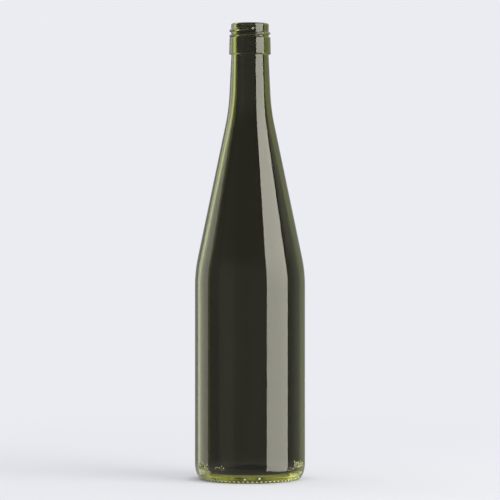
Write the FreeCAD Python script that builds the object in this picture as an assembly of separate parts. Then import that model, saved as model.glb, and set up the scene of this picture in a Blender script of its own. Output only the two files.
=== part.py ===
import FreeCAD, Part
import math
import os

# Rhine wine bottle, 750 ml, glass, with a 30 mm screw finish. Millimetres.
# The axis is Z, and the bottle stands with its bearing ring on Z = 0.

# body and heel
body_r = 38.6
heel_z = 6.6            # height at which the heel line leaves the body line
heel_lean = 26.0        # degrees from upright
heel_round = 20.0
toe_round = 4.2         # turn from the heel into the bearing ring
bearing_in_r = 31.0

# underside
rim_in_r = 28.5         # inner edge of the rim, where the push-up begins
rim_h = 1.3
rim_round = 1.2
push_up_z = 5.0         # the underside on the axis

# shoulder and neck
shoulder_z = 145.8      # where the body line and the cone line meet
shoulder_round = 100.0
cone_lean = 11.8        # degrees from upright
neck_z = 259.3          # where the cone line and the neck line meet
neck_round = 144.0
neck_lean = 2.7         # degrees from upright

# screw finish
collar_z = 297.7        # underside of the collar
collar_low_r = 14.6
collar_top_r = 14.35
collar_top_z = 310.0
collar_round = 1.0
collar_edge_round = 0.4
finish_r = 13.2         # wall behind the thread
finish_root_round = 0.1
top_z = 319.6
lip_round = 1.2

# thread: one right-handed ridge that winds down from below the lip to the collar
thread_pitch = 3.63
thread_top_z = 315.4
thread_start = -78.0    # degrees about Z at the upper end
thread_turns = 1.55
thread_r = 14.4         # crest
thread_base_w = 2.2
thread_crest_w = 0.8
thread_root = 0.7       # how far the ridge reaches into the wall
thread_fade = 28.0      # degrees over which each end sinks into the wall
thread_bury = 0.15      # depth of the crest under the wall at the very end
thread_step = 7.0       # degrees between stations of its path, at most

# inside
mouth_r = 9.8
mouth_round = 1.4
bore_lean = 0.7         # degrees: the bore widens downwards
body_wall = 3.1
cone_wall = 3.4
inner_neck_round = 150.0
inner_shoulder_round = 97.0
inner_heel_round = 4.2
floor_edge_z = 4.9      # the floor beside the wall
floor_flat_r = 24.0     # the floor arches up inside this radius
floor_centre_z = 9.6


def point(r, z):
    return FreeCAD.Vector(r, 0, z)


def rounded_line(corners):
    # edges along (r, z, radius) corners, with a tangent arc of that radius at each inner corner
    edges = []
    last = point(corners[0][0], corners[0][1])
    for i in range(1, len(corners) - 1):
        r, z, radius = corners[i]
        here = point(r, z)
        back = (point(corners[i - 1][0], corners[i - 1][1]) - here).normalize()
        ahead = (point(corners[i + 1][0], corners[i + 1][1]) - here).normalize()
        half = back.getAngle(ahead) / 2
        reach = radius / math.tan(half)
        inward = (back + ahead).normalize()
        middle = here + inward * (radius / math.sin(half) - radius)
        edges.append(Part.makeLine(last, here + back * reach))
        edges.append(Part.Arc(here + back * reach, middle, here + ahead * reach).toShape())
        last = here + ahead * reach
    edges.append(Part.makeLine(last, point(corners[-1][0], corners[-1][1])))
    return edges


def dome(edge_r, edge_z, centre_z):
    # arc from (edge_r, edge_z) up to the axis, level where it meets the axis
    rise = centre_z - edge_z
    radius = (edge_r ** 2 + rise ** 2) / (2 * rise)
    turn = math.asin(edge_r / radius) / 2
    middle = point(radius * math.sin(turn), centre_z - radius * (1 - math.cos(turn)))
    return Part.Arc(point(edge_r, edge_z), middle, point(0, centre_z)).toShape()


def lean(degrees):
    return math.tan(math.radians(degrees))


def outer_line():
    # from the underside out to the heel, then up to the mouth
    neck_r = body_r - (neck_z - shoulder_z) * lean(cone_lean)
    under_collar_r = neck_r - (collar_z - neck_z) * lean(neck_lean)
    return [
        (rim_in_r, rim_h, 0),
        (bearing_in_r, 0, rim_round),
        (body_r - heel_z * lean(heel_lean), 0, toe_round),
        (body_r, heel_z, heel_round),
        (body_r, shoulder_z, shoulder_round),
        (neck_r, neck_z, neck_round),
        (under_collar_r, collar_z, collar_edge_round),
        (collar_low_r, collar_z, collar_edge_round),
        (collar_top_r, collar_top_z, collar_round),
        (finish_r, collar_top_z, finish_root_round),
        (finish_r, top_z, lip_round),
    ]


def inner_line():
    # from the mouth down to the floor
    inner_r = body_r - body_wall
    cone_shift = cone_wall / math.cos(math.radians(cone_lean))
    inner_shoulder_z = shoulder_z + (body_wall - cone_shift) / lean(cone_lean)
    cone_at_top_r = inner_r - (top_z - inner_shoulder_z) * lean(cone_lean)
    down = (mouth_r - cone_at_top_r) / (lean(cone_lean) - lean(bore_lean))
    inner_neck_r = mouth_r + down * lean(bore_lean)
    return [
        (mouth_r, top_z, mouth_round),
        (inner_neck_r, top_z - down, inner_neck_round),
        (inner_r, inner_shoulder_z, inner_shoulder_round),
        (inner_r, floor_edge_z, inner_heel_round),
        (floor_flat_r, floor_edge_z, 0),
    ]


def make_glass():
    edges = rounded_line(outer_line() + inner_line())
    edges.append(dome(floor_flat_r, floor_edge_z, floor_centre_z))
    edges.append(Part.makeLine(point(0, floor_centre_z), point(0, push_up_z)))
    edges.append(dome(rim_in_r, rim_h, push_up_z))
    section = Part.Face(Part.Wire(Part.__sortEdges__(edges)))
    return section.revolve(FreeCAD.Vector(0, 0, 0), FreeCAD.Vector(0, 0, 1), 360)


def thread_point(turned):
    # the foot of the ridge, so many degrees round and down from its upper end
    length = thread_turns * 360
    risen = min(1, turned / thread_fade, (length - turned) / thread_fade)
    sunk = (thread_r - finish_r + thread_bury) * (1 - math.sin(math.radians(90 * risen)))
    r = finish_r - thread_root - sunk
    angle = math.radians(thread_start - turned)
    z = thread_top_z - thread_pitch * turned / 360
    return FreeCAD.Vector(r * math.cos(angle), r * math.sin(angle), z)


def make_thread():
    length = thread_turns * 360
    count = math.ceil(length / thread_step)
    path = Part.BSplineCurve()
    path.interpolate([thread_point(length * i / count) for i in range(count + 1)])
    start = thread_point(0)
    outward = FreeCAD.Vector(start.x, start.y, 0).normalize()
    height = thread_r - finish_r + thread_root
    up = FreeCAD.Vector(0, 0, 1)
    foot = thread_base_w / 2 + thread_root * (thread_base_w - thread_crest_w) / 2 / height
    section = Part.makePolygon([
        start - up * foot,
        start + outward * height - up * thread_crest_w / 2,
        start + outward * height + up * thread_crest_w / 2,
        start + up * foot,
        start - up * foot,
    ])
    sweep = Part.BRepOffsetAPI.MakePipeShell(Part.Wire(path.toShape()))
    sweep.setBiNormalMode(up)   # keeps the section upright all the way round
    sweep.add(section)
    sweep.build()
    sweep.makeSolid()
    return sweep.shape()


def make_bottle():
    bottle = make_glass().fuse(make_thread())
    return bottle.Solids[0]


def main():
    os.makedirs("parts", exist_ok=True)
    bottle = make_bottle()
    bottle.exportStep("parts/bottle.step")
    print("bottle: height", top_z, "mm, glass", round(bottle.Volume / 1000, 1), "cm3")


main()
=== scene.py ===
import math

import bmesh
import bpy
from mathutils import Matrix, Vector, noise


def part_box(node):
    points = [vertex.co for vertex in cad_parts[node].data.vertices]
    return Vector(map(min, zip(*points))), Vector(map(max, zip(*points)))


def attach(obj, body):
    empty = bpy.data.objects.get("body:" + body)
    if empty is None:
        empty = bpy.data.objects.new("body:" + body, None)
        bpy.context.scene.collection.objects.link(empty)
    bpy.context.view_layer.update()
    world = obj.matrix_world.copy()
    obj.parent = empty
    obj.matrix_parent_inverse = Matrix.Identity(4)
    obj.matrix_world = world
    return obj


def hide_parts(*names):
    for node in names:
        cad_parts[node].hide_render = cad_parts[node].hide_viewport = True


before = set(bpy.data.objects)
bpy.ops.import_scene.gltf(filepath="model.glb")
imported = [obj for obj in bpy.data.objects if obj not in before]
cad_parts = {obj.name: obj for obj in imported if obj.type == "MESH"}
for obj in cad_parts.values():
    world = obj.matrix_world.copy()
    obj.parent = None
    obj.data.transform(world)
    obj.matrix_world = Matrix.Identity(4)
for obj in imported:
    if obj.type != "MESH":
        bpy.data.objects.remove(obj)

mm = 0.001
up = Vector((0, 0, 1))
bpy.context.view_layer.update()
bottleLow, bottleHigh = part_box("bottle")
bottleHeight = bottleHigh.z - bottleLow.z
bodyRadius = (bottleHigh.x - bottleLow.x) / 2

slack = 0.1 * mm       # play in the tests of where a vertex lies
rowPlay = 0.01 * mm    # vertices this close in height or radius are on one row
weld = 0.001 * mm      # vertices this close are one

# the bottle's section: radii, heights above the ground, slopes, and roundings of its corners
shape = {
    "columns": 280,              # faces round the axis, a multiple of the knurls
    "rowGap": 12 * mm,           # longest straight run without a row of vertices
    "heelRowGap": 0.9 * mm,      # the same on the heel
    "toeRowGap": 0.33 * mm,      # and on the toe, which starts on the ground
    "heelRows": 15 * mm,         # the heel's rows go up to here
    "arcStep": math.radians(9),  # largest turn and longest gap between two rows of an arc
    "arcGap": 2.2 * mm,
    "leastArcSteps": 3,
    "domeSteps": 14,
    "heelHeight": 6.6 * mm,
    "heelLean": math.radians(26),
    "heelRound": 20 * mm,
    "heelDepth": 2 * mm,         # the heel's skin lies at most this far inside the body's radius
    "toeRound": 4.2 * mm,
    "bearingInner": 31 * mm,     # inner radius of the ring that it stands on
    "rimInner": 28.5 * mm,       # the push-up starts here
    "rimHeight": 1.3 * mm,
    "rimRound": 1.2 * mm,
    "pushUp": 5 * mm,
    "shoulderHeight": 145.8 * mm,
    "shoulderRound": 100 * mm,
    "coneLean": math.radians(11.8),
    "neckHeight": 259.3 * mm,
    "neckRound": 144 * mm,
    "neckLean": math.radians(2.7),
    "collarUnder": 297.7 * mm,
    "collarLow": 14.6 * mm,
    "collarLowRound": 0.7 * mm,
    "collarTop": 14.35 * mm,
    "collarHeight": 310 * mm,
    "collarRound": 1.0 * mm,
    "edgeRound": 0.4 * mm,
    "rootRound": 0.1 * mm,
    "finishRadius": 13.2 * mm,
    "lipRound": 1.2 * mm,
    "mouthRadius": 9.8 * mm,
    "mouthRound": 1.4 * mm,
    "boreLean": math.radians(0.7),
    "bodyWall": 3.1 * mm,
    "coneWall": 3.4 * mm,
    "innerNeckRound": 150 * mm,
    "innerShoulderRound": 97 * mm,
    "innerHeelRound": 4.2 * mm,
    "floorEdge": 4.9 * mm,
    "floorFlat": 24 * mm,
    "floorCentre": 9.6 * mm,
    "wallTilt": -0.6,            # a normal's least rise on the inner wall, and on the floor inside
    "floorTilt": 0.3,
}


def bearing(degrees):
    # the angle round the axis of a place given in degrees to the right of the front
    return math.radians(degrees - 90)


def angleOf(spot):
    return math.atan2(spot.y, spot.x)


def turnFrom(place, angle):
    # the short way round from a place to an angle, with its sign
    return (angle - place + math.pi) % (2 * math.pi) - math.pi


def outwardAt(spot):
    return Vector((spot.x, spot.y, 0)).normalized()


def ease(t):
    t = min(1, max(0, t))
    return t * t * (3 - 2 * t)


def cornerList():
    # the corners of the outside and of the inside, as (radius, height, rounding)
    s = shape
    slope = math.tan(s["coneLean"])
    neckRadius = bodyRadius - (s["neckHeight"] - s["shoulderHeight"]) * slope
    underCollar = neckRadius - (s["collarUnder"] - s["neckHeight"]) * math.tan(s["neckLean"])
    outside = [
        (s["rimInner"], s["rimHeight"], 0),
        (s["bearingInner"], 0, s["rimRound"]),
        (bodyRadius - s["heelHeight"] * math.tan(s["heelLean"]), 0, s["toeRound"]),
        (bodyRadius, s["heelHeight"], s["heelRound"]),
        (bodyRadius, s["shoulderHeight"], s["shoulderRound"]),
        (neckRadius, s["neckHeight"], s["neckRound"]),
        (underCollar, s["collarUnder"], s["edgeRound"]),
        (s["collarLow"], s["collarUnder"], s["collarLowRound"]),
        (s["collarTop"], s["collarHeight"], s["collarRound"]),
        (s["finishRadius"], s["collarHeight"], s["rootRound"]),
        (s["finishRadius"], bottleHeight, s["lipRound"]),
    ]
    innerRadius = bodyRadius - s["bodyWall"]
    coneShift = s["coneWall"] / math.cos(s["coneLean"])
    innerShoulder = s["shoulderHeight"] + (s["bodyWall"] - coneShift) / slope
    coneAtTop = innerRadius - (bottleHeight - innerShoulder) * slope
    down = (s["mouthRadius"] - coneAtTop) / (slope - math.tan(s["boreLean"]))
    inside = [
        (s["mouthRadius"], bottleHeight, s["mouthRound"]),
        (s["mouthRadius"] + down * math.tan(s["boreLean"]), bottleHeight - down, s["innerNeckRound"]),
        (innerRadius, innerShoulder, s["innerShoulderRound"]),
        (innerRadius, s["floorEdge"], s["innerHeelRound"]),
        (s["floorFlat"], s["floorEdge"], 0),
    ]
    return outside, inside


def lineTo(bm, pen, target):
    tip = bmesh.ops.extrude_vert_indiv(bm, verts=[pen])["verts"][0]
    tip.co = target
    return tip


def arcTo(bm, pen, centre, axis, turn):
    gap = shape["heelRowGap"] if pen.co.z < shape["heelRows"] else shape["arcGap"]
    if pen.co.z < rowPlay:
        gap = shape["toeRowGap"]
    length = (pen.co - centre).length * turn
    steps = max(shape["leastArcSteps"], math.ceil(turn / shape["arcStep"]), math.ceil(length / gap))
    swept = bmesh.ops.spin(bm, geom=[pen], cent=centre, axis=axis, angle=turn, steps=steps,
                           use_duplicate=False)
    return [g for g in swept["geom_last"] if isinstance(g, bmesh.types.BMVert)][0]


def drawOutline(bm, pen, corners):
    # straight runs through the corners, with a true arc at each rounding
    spots = [Vector((radius, 0, height)) for radius, height, rounding in corners]
    roundings = [rounding for radius, height, rounding in corners]
    for before, here, after, rounding in zip(spots, spots[1:], spots[2:], roundings[1:]):
        back = (before - here).normalized()
        ahead = (after - here).normalized()
        half = back.angle(ahead) / 2
        centre = here + (back + ahead).normalized() * rounding / math.sin(half)
        pen = lineTo(bm, pen, here + back * rounding / math.tan(half))
        pen = arcTo(bm, pen, centre, ahead.cross(back), math.pi - 2 * half)
    return lineTo(bm, pen, spots[-1])


def drawDome(bm, pen, centreHeight):
    # an arc from the pen up to the axis, level where it meets the axis
    rise = centreHeight - pen.co.z
    radius = (pen.co.x ** 2 + rise ** 2) / (2 * rise)
    bmesh.ops.spin(bm, geom=[pen], cent=(0, 0, centreHeight - radius), axis=(0, -1, 0),
                   angle=math.asin(pen.co.x / radius), steps=shape["domeSteps"], use_duplicate=False)


def splitLongRuns(bm):
    # rows of vertices: close together on the heel and where the thread goes, further apart elsewhere
    for edge in list(bm.edges):
        low, high = sorted(edge.verts, key=lambda v: v.co.z)
        if low.co.z < shape["heelRows"] < high.co.z:
            share = (shape["heelRows"] - low.co.z) / (high.co.z - low.co.z)
            bmesh.utils.edge_split(edge, low, share)
    for edge in list(bm.edges):
        a, b = edge.verts[0].co, edge.verts[1].co
        gap = shape["rowGap"]
        if min(a.x, b.x) > bodyRadius - shape["heelDepth"] and max(a.z, b.z) < shape["heelRows"] + slack:
            gap = shape["heelRowGap"]
        if min(a.x, b.x) > shape["finishRadius"] - slack and min(a.z, b.z) >= threadLow:
            gap = thread["rowGap"]
        cuts = math.ceil(edge.calc_length() / gap) - 1
        if cuts > 0:
            bmesh.ops.subdivide_edges(bm, edges=[edge], cuts=cuts)


def markInterior(bm, layer):
    # 1 on the inner wall and the floor inside, 0 on the outside and the lip
    for v in bm.verts:
        onFloor = shape["floorEdge"] - slack < v.co.z < shape["floorCentre"] + slack
        onLip = v.co.z > bottleHeight - shape["mouthRound"]
        inward = v.normal.x * v.co.x + v.normal.y * v.co.y < 0 and v.normal.z > shape["wallTilt"]
        upward = v.normal.z > shape["floorTilt"]
        if not onLip and (inward and v.co.z > shape["floorEdge"] or onFloor and upward):
            v[layer] = 1


def refineBase(bm):
    # twice the columns on the heel and the bearing ring, on the true circle
    ring = []
    for edge in bm.edges:
        a, b = edge.verts[0].co, edge.verts[1].co
        radius = a.xy.length
        onRow = abs(a.z - b.z) < weld and abs(radius - b.xy.length) < rowPlay
        under = a.z < shape["rimHeight"] + slack and radius > shape["rimInner"] - slack
        heel = a.z < shape["heelRows"] + slack and radius > bodyRadius - shape["heelDepth"]
        if onRow and (under or heel):
            ring.append(edge)
    before = set(bm.verts)
    bmesh.ops.subdivide_edges(bm, edges=ring, cuts=1, use_grid_fill=True)
    outward = 1 / math.cos(math.pi / shape["columns"])
    for v in bm.verts:
        if v not in before:
            v.co.x *= outward
            v.co.y *= outward


# one right-handed ridge round the finish, from its upper end down
thread = {
    "pitch": 3.63 * mm,
    "top": 315.4 * mm,
    "start": math.radians(-78),
    "turns": 1.55,
    "height": 1.2 * mm,
    "baseWidth": 2.3 * mm,
    "crestWidth": 0.75 * mm,
    "fade": math.radians(28),    # turn in which each end rises to the full height
    "rowGap": 0.18 * mm,
}
threadLow = thread["top"] - thread["pitch"] * thread["turns"] - thread["baseWidth"]


def threadRise(angle, height):
    # how far the ridge stands out at this place on the finish
    turned = (thread["start"] - angle) % (2 * math.pi)
    length = thread["turns"] * 2 * math.pi
    best = 0
    while turned < length:
        fade = min(1, turned / thread["fade"], (length - turned) / thread["fade"])
        away = abs(height - (thread["top"] - thread["pitch"] * turned / (2 * math.pi)))
        flank = (thread["baseWidth"] / 2 - away) / (thread["baseWidth"] - thread["crestWidth"]) * 2
        best = max(best, ease(flank) * math.sin(math.pi / 2 * fade))
        turned += 2 * math.pi
    return best * thread["height"]


def cutThread(bm, layer):
    for v in bm.verts:
        radius = v.co.xy.length
        if v.co.z < threadLow or radius < shape["finishRadius"] - slack:
            continue
        rise = threadRise(angleOf(v.co), v.co.z)
        v[layer] = rise / thread["height"]
        target = shape["finishRadius"] + rise
        if target > radius:
            v.co.x *= target / radius
            v.co.y *= target / radius


# round bumps side by side on the toe, the stippling a bottle stands on
knurl = {
    "count": 70,
    "depth": 0.5 * mm,
    "angle": math.radians(42),   # place on the toe's arc, up from straight below
    "size": 1.45 * mm,           # radius of a bump
    "reach": 2.3 * mm,           # the toe is sunk this far round the bumps' middles
    "scuff": 0.68 * mm,          # radius of the worn spot on each bump
    "strays": [(-5.6, 3.1), (10.2, 3.7)],   # lone worn spots: degrees right of the front, mm up
    "strayCuts": 2,              # extra rows and columns at a lone spot
}


def middleOfKnurls():
    # the radius and height of the knurls' middles, on the toe's arc
    turn = math.pi / 2 - shape["heelLean"]
    heelFoot = bodyRadius - shape["heelHeight"] * math.tan(shape["heelLean"])
    flatEnd = heelFoot - shape["toeRound"] * math.tan(turn / 2)
    return Vector((flatEnd + shape["toeRound"] * math.sin(knurl["angle"]),
                   shape["toeRound"] * (1 - math.cos(knurl["angle"]))))


knurlMiddle = middleOfKnurls()


def fromKnurl(spot):
    # the way to the ring of the knurls' middles, and along it to the nearest middle
    radius = spot.xy.length
    step = 2 * math.pi / knurl["count"]
    away = (Vector((radius, spot.z)) - knurlMiddle).length
    aside = ((angleOf(spot) / step + 0.5) % 1 - 0.5) * step * radius
    return away, aside


def cutKnurl(bm, interior):
    # sink the toe between round bumps that keep its height
    for v in bm.verts:
        away, aside = fromKnurl(v.co)
        if away > knurl["reach"] or v[interior] > 0:
            continue
        spread = math.hypot(away, aside) / knurl["size"]
        bump = math.sqrt(max(0, 1 - spread * spread))
        share = ease((knurl["reach"] - away) / (knurl["reach"] - knurl["size"]))
        v.co -= v.normal * knurl["depth"] * (1 - bump) * share


# mould marks on the heel, plain bars and dots, most of them raised:
# (degrees to the right of the front, height, width, length, rise), all but the first in mm
heelMarks = {
    "edge": 0.3 * mm,            # width of the slope round a mark
    "full": 0.3 * mm,            # rise that counts as 1 in the layer of the marks
    "cuts": 2,                   # extra rows and columns at the marks and this far round them
    "margin": (0.7, 0.9),        # aside and up, in mm
    "above": 4 * mm,             # all marks are higher than this
    "bars": [(-66.5, 10.6, 0.5, 4.6, 0.35), (-64, 12.4, 0.5, 1.4, 0.35), (-64, 9.2, 0.5, 1.6, 0.35),
             (-61.5, 10.6, 0.5, 4.6, 0.35), (-59, 12.6, 0.9, 0.9, 0.35), (-59, 8.6, 0.9, 0.9, 0.35),
             (-56.5, 10.6, 0.5, 4.4, 0.35), (-54.5, 10.6, 0.5, 2.0, 0.35), (-52.5, 10.4, 0.5, 4.6, 0.35),
             (-50.5, 12.2, 0.9, 0.9, 0.35), (-50.5, 9.4, 0.9, 0.9, 0.35), (-38, 10.4, 0.9, 0.9, 0.35),
             (-35.5, 10.8, 1.6, 0.6, 0.35), (-33, 10.6, 0.9, 0.9, 0.35), (-30.8, 11.6, 0.9, 0.9, 0.35),
             (-30.8, 9.4, 0.9, 0.9, 0.35), (-28.3, 10.6, 0.9, 0.9, 0.35), (-20.6, 13.4, 1.4, 0.5, 0.2),
             (-11.4, 9.6, 0.5, 2.8, 0.2), (-9, 14.2, 2.5, 0.4, -0.1), (-3, 13.5, 4.0, 0.4, -0.1),
             (3.5, 14.0, 4.0, 0.4, -0.1), (9.5, 14.4, 2.5, 0.4, -0.1), (44, 8.6, 0.8, 0.8, 0.3),
             (47, 9.4, 0.5, 2.0, 0.3), (50.5, 9.4, 0.9, 0.9, 0.35), (53, 12.4, 0.5, 4.6, 0.35),
             (55.5, 11.8, 0.5, 4.0, 0.35), (58, 13.4, 0.9, 0.9, 0.35), (58, 10.2, 0.9, 0.9, 0.35),
             (60.5, 11.6, 0.5, 4.8, 0.35), (63, 11.0, 0.5, 3.0, 0.35), (65.5, 12.2, 0.5, 4.4, 0.35),
             (68, 10.6, 0.9, 0.9, 0.35), (70, 11.2, 0.5, 3.8, 0.35), (125, 10.5, 0.6, 3.4, 0.3),
             (128.5, 10.5, 0.9, 0.9, 0.3), (132, 10.5, 0.9, 0.9, 0.3), (135.5, 10.5, 0.6, 3.4, 0.3),
             (139, 10.5, 0.9, 0.9, 0.3), (210, 10.5, 3.0, 0.6, 0.3), (218, 10.5, 3.0, 0.6, 0.3),
             (226, 10.5, 0.9, 0.9, 0.3)],
}


def onHeel(spot):
    onSkin = spot.xy.length > bodyRadius - shape["heelDepth"]
    return onSkin and heelMarks["above"] < spot.z < shape["heelRows"] + slack


def nearMark(spot):
    angle = angleOf(spot)
    marginAside, marginUp = heelMarks["margin"]
    for degrees, middle, width, length, rise in heelMarks["bars"]:
        aside = abs(turnFrom(bearing(degrees), angle)) * bodyRadius
        away = abs(spot.z - middle * mm)
        if aside < (width / 2 + marginAside) * mm and away < (length / 2 + marginUp) * mm:
            return True
    return False


def heelMarkRise(spot):
    # how far the marks stand out at this place
    angle = angleOf(spot)
    total = 0
    for degrees, middle, width, length, rise in heelMarks["bars"]:
        thickness = min(width, length)
        turned = turnFrom(bearing(degrees), angle)
        across = max(0, abs(turned) * bodyRadius - (width - thickness) / 2 * mm)
        along = max(0, abs(spot.z - middle * mm) - (length - thickness) / 2 * mm)
        inside = thickness / 2 * mm - math.hypot(across, along)
        total += rise * mm * ease(inside / heelMarks["edge"] + 0.5)
    return total


def raiseMarks(bm, layer):
    near = {v for v in bm.verts if onHeel(v.co) and nearMark(v.co)}
    edges = [e for e in bm.edges if e.verts[0] in near and e.verts[1] in near]
    bmesh.ops.subdivide_edges(bm, edges=edges, cuts=heelMarks["cuts"], use_grid_fill=True)
    for v in bm.verts:
        if onHeel(v.co):
            rise = heelMarkRise(v.co)
            v.co += outwardAt(v.co) * rise
            v[layer] = min(1, abs(rise) / heelMarks["full"])


# small faces painted with a pale yellow-green glint, standing in for light that the glass gathers: flanks
# of the marks, and grains of the rough places on the toe, where each place is (from, to in degrees right
# of the front, from, to in mm up)
glint = {
    "least": 0.8,                # a flank belongs to a mark at least this tall, where 1 is its full rise
    "step": 0.25,                # and climbs at least this much
    "size": 0.6 * mm,            # of the noise that picks the grains, above these levels
    "above": 0.12,
    "flankAbove": -0.12,
    "jitter": 0.16 * mm,
    "rough": [(-74, -46, 1.6, 8), (46, 72, 1.6, 6.5)],
}


def nearStray(spot, reach):
    angle = angleOf(spot)
    for degrees, height in knurl["strays"]:
        aside = turnFrom(bearing(degrees), angle) * spot.xy.length
        if math.hypot(aside, spot.z - height * mm) < reach:
            return True
    return False


def nearWorn(spot, reach):
    # close to the middle of a knurl or to one of the lone worn spots
    if spot.z > shape["heelHeight"] or spot.xy.length < shape["bearingInner"]:
        return False
    return math.hypot(*fromKnurl(spot)) < reach or nearStray(spot, reach)


def nearRough(spot):
    if spot.z > shape["heelRows"] or spot.xy.length < shape["bearingInner"]:
        return False
    degrees = math.degrees(angleOf(spot)) + 90
    return any(first < degrees < last and low * mm < spot.z < high * mm
               for first, last, low, high in glint["rough"])


def shatterToe(bm):
    # small uneven facets where the toe is worn or rough
    lone = set()
    for face in bm.faces:
        if nearStray(face.calc_center_median(), knurl["scuff"] + shape["heelRowGap"]):
            lone.update(face.edges)
    bmesh.ops.subdivide_edges(bm, edges=list(lone), cuts=knurl["strayCuts"], use_grid_fill=True)
    chosen = []
    for face in bm.faces:
        spot = face.calc_center_median()
        if nearRough(spot) or nearWorn(spot, knurl["scuff"] + shape["toeRowGap"]):
            chosen.append(face)
    grown = bmesh.ops.poke(bm, faces=chosen)
    for v in grown["verts"]:
        if nearRough(v.co):
            shift = noise.noise_vector(v.co / glint["size"]) * glint["jitter"]
            v.co += shift - v.normal * shift.dot(v.normal)


def paintToe(bm, layer):
    # the worn spots get the second material; grains of the rough places and flanks of the tall marks get
    # the third, a painted glint that stands in for the light of the wall these faces would gather
    for face in bm.faces:
        spot = face.calc_center_median()
        if spot.z > shape["heelRows"] or spot.xy.length < shape["bearingInner"]:
            continue
        steps = [v[layer] for v in face.verts]
        flank = max(steps) > glint["least"] and max(steps) - min(steps) > glint["step"]
        grain = noise.noise(spot / glint["size"])
        if nearWorn(spot, knurl["scuff"]):
            face.material_index = 1
        elif flank and grain > glint["flankAbove"] or nearRough(spot) and grain > glint["above"]:
            face.material_index = 2


# the two parting lines of the mould, a little behind the right outline and before the left one
seams = {
    "angles": (math.radians(8), math.radians(188)),
    "rise": 0.1 * mm,
    "low": 9 * mm,
    "high": 296 * mm,
    "fade": 6 * mm,              # height in which a seam grows out of the heel
}


def raiseSeams(bm, interior):
    for v in bm.verts:
        if v[interior] > 0 or not seams["low"] < v.co.z < seams["high"]:
            continue
        angle = angleOf(v.co)
        for place in seams["angles"]:
            if abs(turnFrom(place, angle)) < math.pi / shape["columns"]:
                fade = min(1, (v.co.z - seams["low"]) / seams["fade"])
                v.co += outwardAt(v.co) * seams["rise"] * fade


innerWaves = {
    "height": 0.05 * mm,
    "size": 30 * mm,
}


def waveInside(bm, interior):
    # the blown inner wall is never quite even
    for v in bm.verts:
        if v[interior] > 0:
            wave = noise.noise(v.co / innerWaves["size"])
            v.co += v.normal * wave * innerWaves["height"]


def makeBottle():
    outside, inside = cornerList()
    bm = bmesh.new()
    # both pens start on the rim underneath: one goes round by the mouth to the floor inside,
    # the other draws the push-up
    start = Vector((outside[0][0], 0, outside[0][1]))
    pen = bm.verts.new(start)
    under = bm.verts.new(start)
    pen = drawOutline(bm, pen, outside + inside)
    drawDome(bm, pen, shape["floorCentre"])
    drawDome(bm, under, shape["pushUp"])
    bmesh.ops.remove_doubles(bm, verts=bm.verts, dist=weld)
    splitLongRuns(bm)
    for v in bm.verts:
        if abs(v.co.x) < weld:
            v.co.x = 0
    bmesh.ops.spin(bm, geom=bm.verts[:] + bm.edges[:], cent=(0, 0, 0), axis=up,
                   angle=2 * math.pi, steps=shape["columns"], use_merge=True, use_duplicate=False)
    bmesh.ops.remove_doubles(bm, verts=bm.verts, dist=2 * weld)
    bmesh.ops.recalc_face_normals(bm, faces=bm.faces)
    bm.normal_update()
    # layers that the materials and the next steps read: inner wall, thread and heel marks
    interior = bm.verts.layers.float.new("interior")
    ridge = bm.verts.layers.float.new("ridge")
    mark = bm.verts.layers.float.new("mark")
    markInterior(bm, interior)
    print("cutting the thread")
    cutThread(bm, ridge)
    print("working the foot")
    refineBase(bm)
    bm.normal_update()
    cutKnurl(bm, interior)
    raiseMarks(bm, mark)
    shatterToe(bm)
    paintToe(bm, mark)
    print("seams and waves")
    raiseSeams(bm, interior)
    waveInside(bm, interior)
    print("glass:", sum(len(f.verts) - 2 for f in bm.faces), "triangles")
    mesh = bpy.data.meshes.new("bottleGlass")
    bm.to_mesh(mesh)
    bm.free()
    for face in mesh.polygons:
        face.use_smooth = True
    bottle = bpy.data.objects.new("bottleGlass", mesh)
    bpy.context.scene.collection.objects.link(bottle)
    return bottle


def openTree(tree):
    # an empty node tree, as a function that adds a node to it and one that links two sockets
    tree.nodes.clear()

    def add(kind, values=(), **settings):
        node = tree.nodes.new(kind)
        for name, setting in settings.items():
            setattr(node, name, setting)
        for socket, value in dict(values).items():
            node.inputs[socket].default_value = value
        return node
    return add, tree.links.new


def startMaterial(name):
    material = bpy.data.materials.new(name)
    material.use_nodes = True
    add, link = openTree(material.node_tree)
    return material, add, link


def opaque(colour):
    return (*colour, 1)


def addRamp(add, link, source, stops):
    ramp = add("ShaderNodeValToRGB")
    elements = ramp.color_ramp.elements
    while len(elements) < len(stops):
        elements.new(1)
    for element, (position, colour) in zip(elements, stops):
        element.position = position
        element.color = colour
    link(source, ramp.inputs[0])
    return ramp


def mixColours(add, link, share, first, second, kind="MIX"):
    # each of the three is an output socket or a plain value
    node = add("ShaderNodeMix", data_type="RGBA", blend_type=kind)
    for place, given in ((0, share), (6, first), (7, second)):
        if isinstance(given, bpy.types.NodeSocket):
            link(given, node.inputs[place])
        else:
            node.inputs[place].default_value = given
    return node.outputs[2]


def mixShaders(add, link, share, first, second):
    node = add("ShaderNodeMixShader")
    for place, given in enumerate((share, first, second)):
        link(given, node.inputs[place])
    return node.outputs[0]


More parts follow.
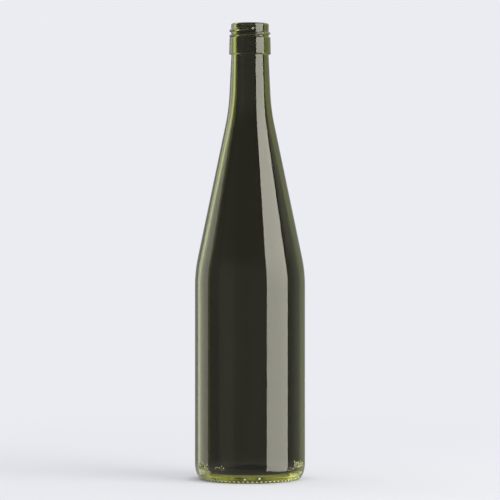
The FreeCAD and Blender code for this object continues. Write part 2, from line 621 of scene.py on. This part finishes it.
glassLook = {
    "ior": 1.52,
    "roughness": 0.0,
    "absorbColour": (0.67, 0.68, 0.16),
    "absorbDensity": 25,         # per metre
    # tint of the light that passes each side of the wall, by height; the body's tint is the dark glass's
    # own colour, and the far paler tint on the heel and at the top of the lip is a painted glow that
    # stands in for light coming through them
    "outerTint": [(0, (0.93, 0.95, 0.36)), (5 * mm, (0.93, 0.95, 0.36)), (13 * mm, (0.266, 0.294, 0.067)),
                  (307 * mm, (0.266, 0.294, 0.067)), (311 * mm, (0.3, 0.33, 0.08)),
                  (318.4 * mm, (0.26, 0.29, 0.07)), (319.4 * mm, (0.95, 1, 0.6))],
    # paler than the body's tint: a painted glow on the thread's crest, standing in for light the ridge
    # catches
    "ridgeTint": (0.55, 0.6, 0.2),
    "innerTint": [(0, (0.126, 0.104, 0.28)), (307 * mm, (0.126, 0.104, 0.28)),
                  (311 * mm, (0.05, 0.042, 0.036))],
    # faint upright streaks in the colour and a slow waviness of the surface
    "streaks": {"size": 14 * mm, "stretch": 9, "detail": 3, "range": (0.3, 0.7), "amount": 0.12},
    "waves": {"size": 16 * mm, "detail": 1, "height": 0.03 * mm},
}


def glassMaterial():
    material, add, link = startMaterial("darkOliveGlass")
    out = add("ShaderNodeOutputMaterial")
    glass = add("ShaderNodeBsdfPrincipled", {"Transmission Weight": 1, "IOR": glassLook["ior"],
                                             "Roughness": glassLook["roughness"]})
    where = add("ShaderNodeTexCoord").outputs["Object"]
    split = add("ShaderNodeSeparateXYZ")
    height = add("ShaderNodeMapRange", {"From Max": bottleHeight})
    link(where, split.inputs[0])
    link(split.outputs["Z"], height.inputs["Value"])
    sides = []
    # the outer ramp is paler on the heel and at the top of the lip, a painted glow
    for tints in (glassLook["outerTint"], glassLook["innerTint"]):
        stops = [(place / bottleHeight, opaque(colour)) for place, colour in tints]
        sides.append(addRamp(add, link, height.outputs[0], stops).outputs["Color"])
    outer, inner = sides
    crest = add("ShaderNodeAttribute", attribute_name="ridge").outputs["Fac"]
    inside = add("ShaderNodeAttribute", attribute_name="interior").outputs["Fac"]
    # the thread's crest gets the paler ridge tint, a painted glow
    outside = mixColours(add, link, crest, outer, opaque(glassLook["ridgeTint"]))
    tint = mixColours(add, link, inside, outside, inner)
    streaks, waves = glassLook["streaks"], glassLook["waves"]
    low, high = streaks["range"]
    drawn = add("ShaderNodeMapping", {"Scale": (1, 1, 1 / streaks["stretch"])})
    cords = add("ShaderNodeTexNoise", {"Scale": 1 / streaks["size"], "Detail": streaks["detail"]})
    depthOfCord = add("ShaderNodeMapRange", {"From Min": low, "From Max": high,
                                             "To Min": 1 - streaks["amount"],
                                             "To Max": 1 + streaks["amount"]})
    link(where, drawn.inputs["Vector"])
    link(drawn.outputs[0], cords.inputs["Vector"])
    link(cords.outputs["Fac"], depthOfCord.inputs["Value"])
    streaked = mixColours(add, link, 1, tint, depthOfCord.outputs[0], "MULTIPLY")
    link(streaked, glass.inputs["Base Color"])
    swell = add("ShaderNodeTexNoise", {"Scale": 1 / waves["size"], "Detail": waves["detail"]})
    wavy = add("ShaderNodeBump", {"Distance": waves["height"]})
    link(where, swell.inputs["Vector"])
    link(swell.outputs["Fac"], wavy.inputs["Height"])
    link(wavy.outputs[0], glass.inputs["Normal"])
    depth = add("ShaderNodeVolumeAbsorption", {"Color": opaque(glassLook["absorbColour"]),
                                               "Density": glassLook["absorbDensity"]})
    link(glass.outputs[0], out.inputs["Surface"])
    link(depth.outputs[0], out.inputs["Volume"])
    return material


def grainGroup():
    # a noise between two colours, shared by the worn glass and the painted glints
    group = bpy.data.node_groups.new("grainAndPaintedSparkle", "ShaderNodeTree")
    for name, kind, way in (("Vector", "Vector", "INPUT"), ("Scale", "Float", "INPUT"),
                            ("Dark", "Color", "INPUT"), ("Pale", "Color", "INPUT"),
                            ("Color", "Color", "OUTPUT")):
        group.interface.new_socket(name=name, in_out=way, socket_type="NodeSocket" + kind)
    add, link = openTree(group)
    given = add("NodeGroupInput")
    result = add("NodeGroupOutput")
    grain = add("ShaderNodeTexNoise")
    link(given.outputs["Vector"], grain.inputs["Vector"])
    link(given.outputs["Scale"], grain.inputs["Scale"])
    shade = mixColours(add, link, grain.outputs["Fac"], given.outputs["Dark"], given.outputs["Pale"])
    link(shade, result.inputs["Color"])
    return group


grainAndPaintedSparkle = grainGroup()

# the worn spots on the knurls
scuffLook = {
    "pale": (0.85, 0.87, 0.76),
    "dark": (0.58, 0.62, 0.44),
    "grain": 0.25 * mm,
    "roughness": 0.55,
}

# the flanks and grains with painted glints: pale and dark grains of painted light in place of the sparkle
# of the glass
paintedGlintLook = {
    "pale": (0.92, 0.96, 0.42),
    "dark": (0.3, 0.34, 0.07),
    "grain": 0.6 * mm,
    "roughness": 0.3,
}


# pale opaque spots: wear on the knurls, and painted glints on the flanks and grains
def paleSpots(name, look):
    material, add, link = startMaterial(name)
    out = add("ShaderNodeOutputMaterial")
    worn = add("ShaderNodeBsdfPrincipled", {"Roughness": look["roughness"]})
    where = add("ShaderNodeTexCoord").outputs["Object"]
    grain = add("ShaderNodeGroup", {"Scale": 1 / look["grain"], "Dark": opaque(look["dark"]),
                                    "Pale": opaque(look["pale"])}, node_tree=grainAndPaintedSparkle)
    link(where, grain.inputs["Vector"])
    link(grain.outputs["Color"], worn.inputs["Base Color"])
    link(worn.outputs[0], out.inputs["Surface"])
    return material


studio = {
    "backdrop": (0.831, 0.839, 0.888),
    "walls": (0.831, 0.842, 0.85),  # what the glass mirrors and shows behind it
    "ambient": 0.9,
    # brightness of the room against the walls: (compass degrees, level), where 0 is the camera's side,
    # 90 the right and 180 behind the bottle
    "room": [(0, 0.29), (94, 0.25), (110, 0.45), (128, 0.5), (145, 0.4), (172, 0.4), (176, 0.52),
             (184, 0.52), (188, 0.4), (215, 0.4), (225, 0.5), (240, 0.25), (290, 0.25), (294, 0.42),
             (324, 0.42), (328, 0.29), (360, 0.29)],
    # the same higher up the walls, from the first to the second of these sines of the elevation
    "roomAbove": [(0, 0.16), (90, 0.16), (104, 1.6), (152, 1.6), (166, 0.12), (194, 0.12), (208, 1.4),
                  (256, 1.4), (270, 0.16), (360, 0.16)],
    "aboveFrom": (0.22, 0.4),
    # (sine of the elevation, level, share of it): the floor below, darker the more steeply it is seen, a
    # painted shadow of the bottle on the floor that the glass shows, and the ceiling above
    "overUnder": [(-1, 0.23, 1), (-0.5, 0.25, 1), (-0.35, 0.45, 0.9), (-0.14, 1, 0), (0.5, 1, 0),
                  (0.75, 0.7, 1), (1, 0.7, 1)],
    # lamps that span these compass degrees, with their heights above the ground
    "softbox": {"from": 35.0, "to": 84.5, "distance": 1.6, "low": -0.55, "high": 1.15,
                "radiance": 5.95, "falloff": (0.84, 1.34), "seenThroughGlass": False,
                "colour": (1, 0.985, 0.835)},
    "leftCard": {"from": -98.0, "to": -141.0, "distance": 1.6, "low": -0.6, "high": 1.2,
                 "radiance": 1.3, "falloff": (1, 1), "seenThroughGlass": True, "colour": (1, 0.97, 0.98)},
}


def compassStops(levels):
    return [(degrees / 360, (level, level, level, 1)) for degrees, level in levels]


def sineStops(levels):
    return [((sine + 1) / 2, (level, level, level, share)) for sine, level, share in levels]


def roomWorld():
    world = bpy.data.worlds.new("studio")
    bpy.context.scene.world = world
    world.use_nodes = True
    add, link = openTree(world.node_tree)
    out = add("ShaderNodeOutputWorld")
    path = add("ShaderNodeLightPath")
    backdrop = add("ShaderNodeBackground", {"Color": opaque(studio["backdrop"])})
    ambient = add("ShaderNodeBackground", {"Strength": studio["ambient"]})
    # the compass direction, 0 to 1 from the camera's side by the right and back again
    where = add("ShaderNodeTexCoord").outputs["Generated"]
    turn = add("ShaderNodeMapping", {"Rotation": (0, 0, math.radians(-90))}, vector_type="POINT")
    around = add("ShaderNodeTexGradient", gradient_type="RADIAL")
    link(where, turn.inputs["Vector"])
    link(turn.outputs[0], around.inputs[0])
    # the sine of the elevation
    split = add("ShaderNodeSeparateXYZ")
    climb = add("ShaderNodeMapRange", {"From Min": -1})
    link(where, split.inputs[0])
    link(split.outputs["Z"], climb.inputs["Value"])
    room = addRamp(add, link, around.outputs["Fac"], compassStops(studio["room"]))
    roomAbove = addRamp(add, link, around.outputs["Fac"], compassStops(studio["roomAbove"]))
    # overUnder paints the bottle's shadow into the floor below that glossy and transmission rays see
    overUnder = addRamp(add, link, climb.outputs[0], sineStops(studio["overUnder"]))
    firstSine, lastSine = studio["aboveFrom"]
    higher = add("ShaderNodeMapRange", {"From Min": firstSine, "From Max": lastSine})
    link(split.outputs["Z"], higher.inputs["Value"])
    walls = mixColours(add, link, higher.outputs[0], room.outputs[0], roomAbove.outputs[0])
    level = mixColours(add, link, overUnder.outputs["Alpha"], walls, overUnder.outputs["Color"])
    dimmed = mixColours(add, link, 1, opaque(studio["walls"]), level, "MULTIPLY")
    roomLight = add("ShaderNodeBackground")
    link(dimmed, roomLight.inputs["Color"])
    inGlass = add("ShaderNodeMath", operation="MAXIMUM")
    link(path.outputs["Is Glossy Ray"], inGlass.inputs[0])
    link(path.outputs["Is Transmission Ray"], inGlass.inputs[1])
    lit = mixShaders(add, link, inGlass.outputs[0], ambient.outputs[0], roomLight.outputs[0])
    seen = mixShaders(add, link, path.outputs["Is Camera Ray"], lit, backdrop.outputs[0])
    link(seen, out.inputs["Surface"])


def panelLight(name, panel):
    # a softbox that spans the given compass angles, counted from the camera's side towards the right
    first, last = math.radians(panel["from"]), math.radians(panel["to"])
    middle = (first + last) / 2
    towards = Vector((math.sin(middle), -math.cos(middle), 0))
    data = bpy.data.lights.new(name, "AREA")
    data.shape = "RECTANGLE"
    data.size = 2 * panel["distance"] * math.tan(abs(last - first) / 2)
    data.size_y = panel["high"] - panel["low"]
    data.energy = panel["radiance"] * math.pi * data.size * data.size_y
    data.color = panel["colour"]
    data.use_nodes = True
    add, link = openTree(data.node_tree)
    out = add("ShaderNodeOutputLight")
    glow = add("ShaderNodeEmission")
    across = add("ShaderNodeNewGeometry")
    split = add("ShaderNodeSeparateXYZ")
    least, most = panel["falloff"]
    strength = add("ShaderNodeMapRange", {"To Min": least, "To Max": most})
    link(across.outputs["Parametric"], split.inputs[0])
    link(split.outputs["Y"], strength.inputs["Value"])
    link(strength.outputs[0], glow.inputs["Strength"])
    link(glow.outputs[0], out.inputs["Surface"])
    light = bpy.data.objects.new(name, data)
    bpy.context.scene.collection.objects.link(light)
    light.location = towards * panel["distance"] + up * (panel["high"] + panel["low"]) / 2
    light.rotation_euler = (-towards).to_track_quat("-Z", "Y").to_euler()
    light.visible_camera = False
    light.visible_transmission = panel["seenThroughGlass"]


floorLook = {
    "colour": (0.768, 0.78, 0.85),
    "size": 6.0,
    "shadowReach": (0.12, 0.70),  # the lit floor near the bottle passes into the flat backdrop colour
    "flatShare": 0.45,
    "contact": (0.034, 0.05),     # under and close to the bottle the shadow keeps its full depth
}


def floorMaterial():
    material, add, link = startMaterial("paleFloor")
    out = add("ShaderNodeOutputMaterial")
    diffuse = add("ShaderNodeBsdfDiffuse", {"Color": opaque(floorLook["colour"])})
    flat = add("ShaderNodeEmission", {"Color": opaque(studio["backdrop"])})
    where = add("ShaderNodeTexCoord").outputs["Object"]
    spread = add("ShaderNodeVectorMath", operation="LENGTH")
    link(where, spread.inputs[0])
    lifted = add("ShaderNodeMath", operation="MULTIPLY")
    fades = ((floorLook["shadowReach"], floorLook["flatShare"]), (floorLook["contact"], 0))
    for place, ((near, far), least) in enumerate(fades):
        fade = add("ShaderNodeMapRange", {"From Min": near, "From Max": far, "To Min": least},
                   interpolation_type="SMOOTHSTEP")
        link(spread.outputs["Value"], fade.inputs["Value"])
        link(fade.outputs[0], lifted.inputs[place])
    path = add("ShaderNodeLightPath")
    seen = add("ShaderNodeMath", operation="MULTIPLY")
    link(lifted.outputs[0], seen.inputs[0])
    link(path.outputs["Is Camera Ray"], seen.inputs[1])
    mixed = mixShaders(add, link, seen.outputs[0], diffuse.outputs[0], flat.outputs[0])
    link(mixed, out.inputs["Surface"])
    return material


def makeFloor():
    bm = bmesh.new()
    bmesh.ops.create_grid(bm, x_segments=1, y_segments=1, size=floorLook["size"])
    mesh = bpy.data.meshes.new("floor")
    bm.to_mesh(mesh)
    bm.free()
    floor = bpy.data.objects.new("floor", mesh)
    bpy.context.scene.collection.objects.link(floor)
    floor.data.materials.append(floorMaterial())
    floor.visible_glossy = False
    floor.visible_transmission = False


view = {
    "distance": 1.88,
    "height": 0.1838,
    "sensor": 36,                # width in mm, as is the lens
    "lens": 192.9,
    "shiftUp": -0.066,
    "farthest": 50,
}


def makeCamera():
    data = bpy.data.cameras.new("camera")
    data.sensor_width = view["sensor"]
    data.lens = view["lens"]
    data.shift_y = view["shiftUp"]
    data.clip_end = view["farthest"]
    camera = bpy.data.objects.new("camera", data)
    camera.location = (0, -view["distance"], view["height"])
    camera.rotation_euler = (math.radians(90), 0, 0)
    bpy.context.scene.collection.objects.link(camera)
    bpy.context.scene.camera = camera


print("modelling the glass")
bottle = makeBottle()

print("dressing the glass")
bottle.data.materials.append(glassMaterial())
bottle.data.materials.append(paleSpots("scuffedGlass", scuffLook))
# the third material is painted glint
bottle.data.materials.append(paleSpots("paintedGlintGlass", paintedGlintLook))
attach(bottle, "root")
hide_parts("bottle")

print("setting up the studio")
roomWorld()
panelLight("rightSoftbox", studio["softbox"])
panelLight("leftCard", studio["leftCard"])
makeFloor()
makeCamera()
bpy.context.scene.view_settings.view_transform = "Standard"
# light runs round inside the thick base and the finish many times before it comes out
bpy.context.scene.cycles.max_bounces = 32
bpy.context.scene.cycles.glossy_bounces = 28
bpy.context.scene.cycles.transmission_bounces = 28
